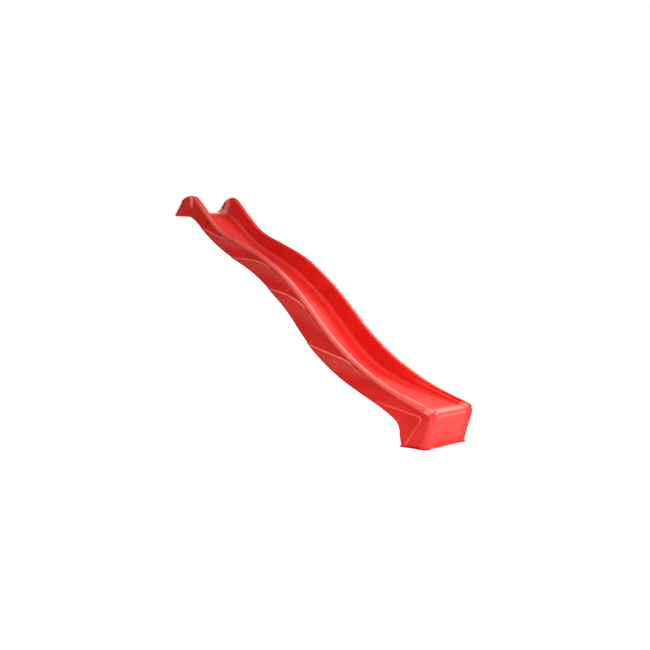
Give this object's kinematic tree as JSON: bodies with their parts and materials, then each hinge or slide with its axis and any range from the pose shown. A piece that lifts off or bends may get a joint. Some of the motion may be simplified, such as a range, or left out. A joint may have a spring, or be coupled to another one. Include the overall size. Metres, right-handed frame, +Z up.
{
  "type": "wave slide",
  "caption": "Straight wave slide for a raised play deck: hollow moulded chute with rounded rims, deck lip with ears, boxed foot and screw fixings.",
  "frame": {"origin": "middle of the flat underside of the lip, where it rests on the play deck", "axes": "+X level and downhill, +Y to the rider's left, +Z up"},
  "size_m": [2.7536, 0.5532, 1.6434],
  "materials": {
    "red_plastic": "glossy, lightly scuffed",
    "dark_red_plastic": "satin",
    "black_plastic": "satin",
    "black_rubber": "matte",
    "grey_plastic": "satin"
  },
  "bodies": {
    "root": {"chute_shell": "red_plastic", "lip_sleeves": "grey_plastic", "ear_bushings": "dark_red_plastic", "ear_bushing_rings": "dark_red_plastic", "port_body": "black_plastic", "port_seal": "black_rubber", "port_plug": "red_plastic", "feed_tube": "grey_plastic", "spray_head": "black_plastic", "spray_seal": "black_rubber", "blow_hole_plugs": "dark_red_plastic"}
  },
  "joints": []
}
